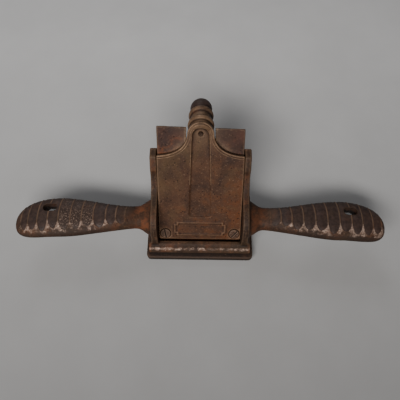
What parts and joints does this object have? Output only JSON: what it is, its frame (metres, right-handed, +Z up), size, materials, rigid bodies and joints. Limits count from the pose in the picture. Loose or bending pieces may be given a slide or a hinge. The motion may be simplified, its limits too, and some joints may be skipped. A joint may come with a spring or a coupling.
{
  "type": "hand plane",
  "caption": "Two-handled iron cabinet plane: a broad cutter on a steep bed under a clamp cap, with wing grips and a turned knob behind.",
  "frame": {"origin": "middle of the sole plate's underside, on the surface the plane stands on", "axes": "+X along the grips to the right hand seen from the cap's side, +Z up, -Y to the front where the cap faces and the toe is"},
  "size_m": [0.304, 0.1143, 0.0908],
  "materials": {
    "cast_body": "rusted, worn smooth",
    "sole_iron": "rusted, dark",
    "cap_iron": "rusted, olive brown patina",
    "cutter_steel": "rusted",
    "screw_steel": "rusted",
    "stud_steel": "rusted",
    "knob_iron": "dark brown patina"
  },
  "bodies": {
    "body": {"body_casting": "cast_body", "sole_plate": "sole_iron", "sole_screws": "screw_steel", "clamp_washer": "stud_steel"},
    "cutter": {"cutter": "cutter_steel"},
    "cap": {"cap_plate": "cap_iron", "clamp_stud": "stud_steel"},
    "left_screw": {"left_pressure_screw": "screw_steel"},
    "right_screw": {"right_pressure_screw": "screw_steel"},
    "knob": {"clamp_knob": "knob_iron"}
  },
  "joints": [
    {"name": "cutter_slide", "type": "slide", "parent": "body", "child": "cutter", "axis": [0, 0.6428, 0.766], "range_m": [-0.001, 0.012]},
    {"name": "knob_turn", "type": "hinge", "parent": "body", "child": "knob", "pos_m": [0, 0.06772, 0.07657], "axis": [0, 0.9703, -0.2419], "range_deg": [0, 360]},
    {"name": "cap_slide", "type": "slide", "parent": "body", "child": "cap", "axis": [0, -0.9703, 0.2419], "range_m": [0, 0.00127]},
    {"name": "left_screw_turn", "type": "hinge", "parent": "cap", "child": "left_screw", "pos_m": [-0.0295, -0.01096, 0.01478], "axis": [0, -0.766, 0.6428], "range_deg": [-30, 90]},
    {"name": "right_screw_turn", "type": "hinge", "parent": "cap", "child": "right_screw", "pos_m": [0.0295, -0.01096, 0.01478], "axis": [0, -0.766, 0.6428], "range_deg": [-30, 90]}
  ],
  "couplings": [
    {"joint": "knob_turn", "follows": "cap_slide", "rad_per_m": 4947.4}
  ]
}
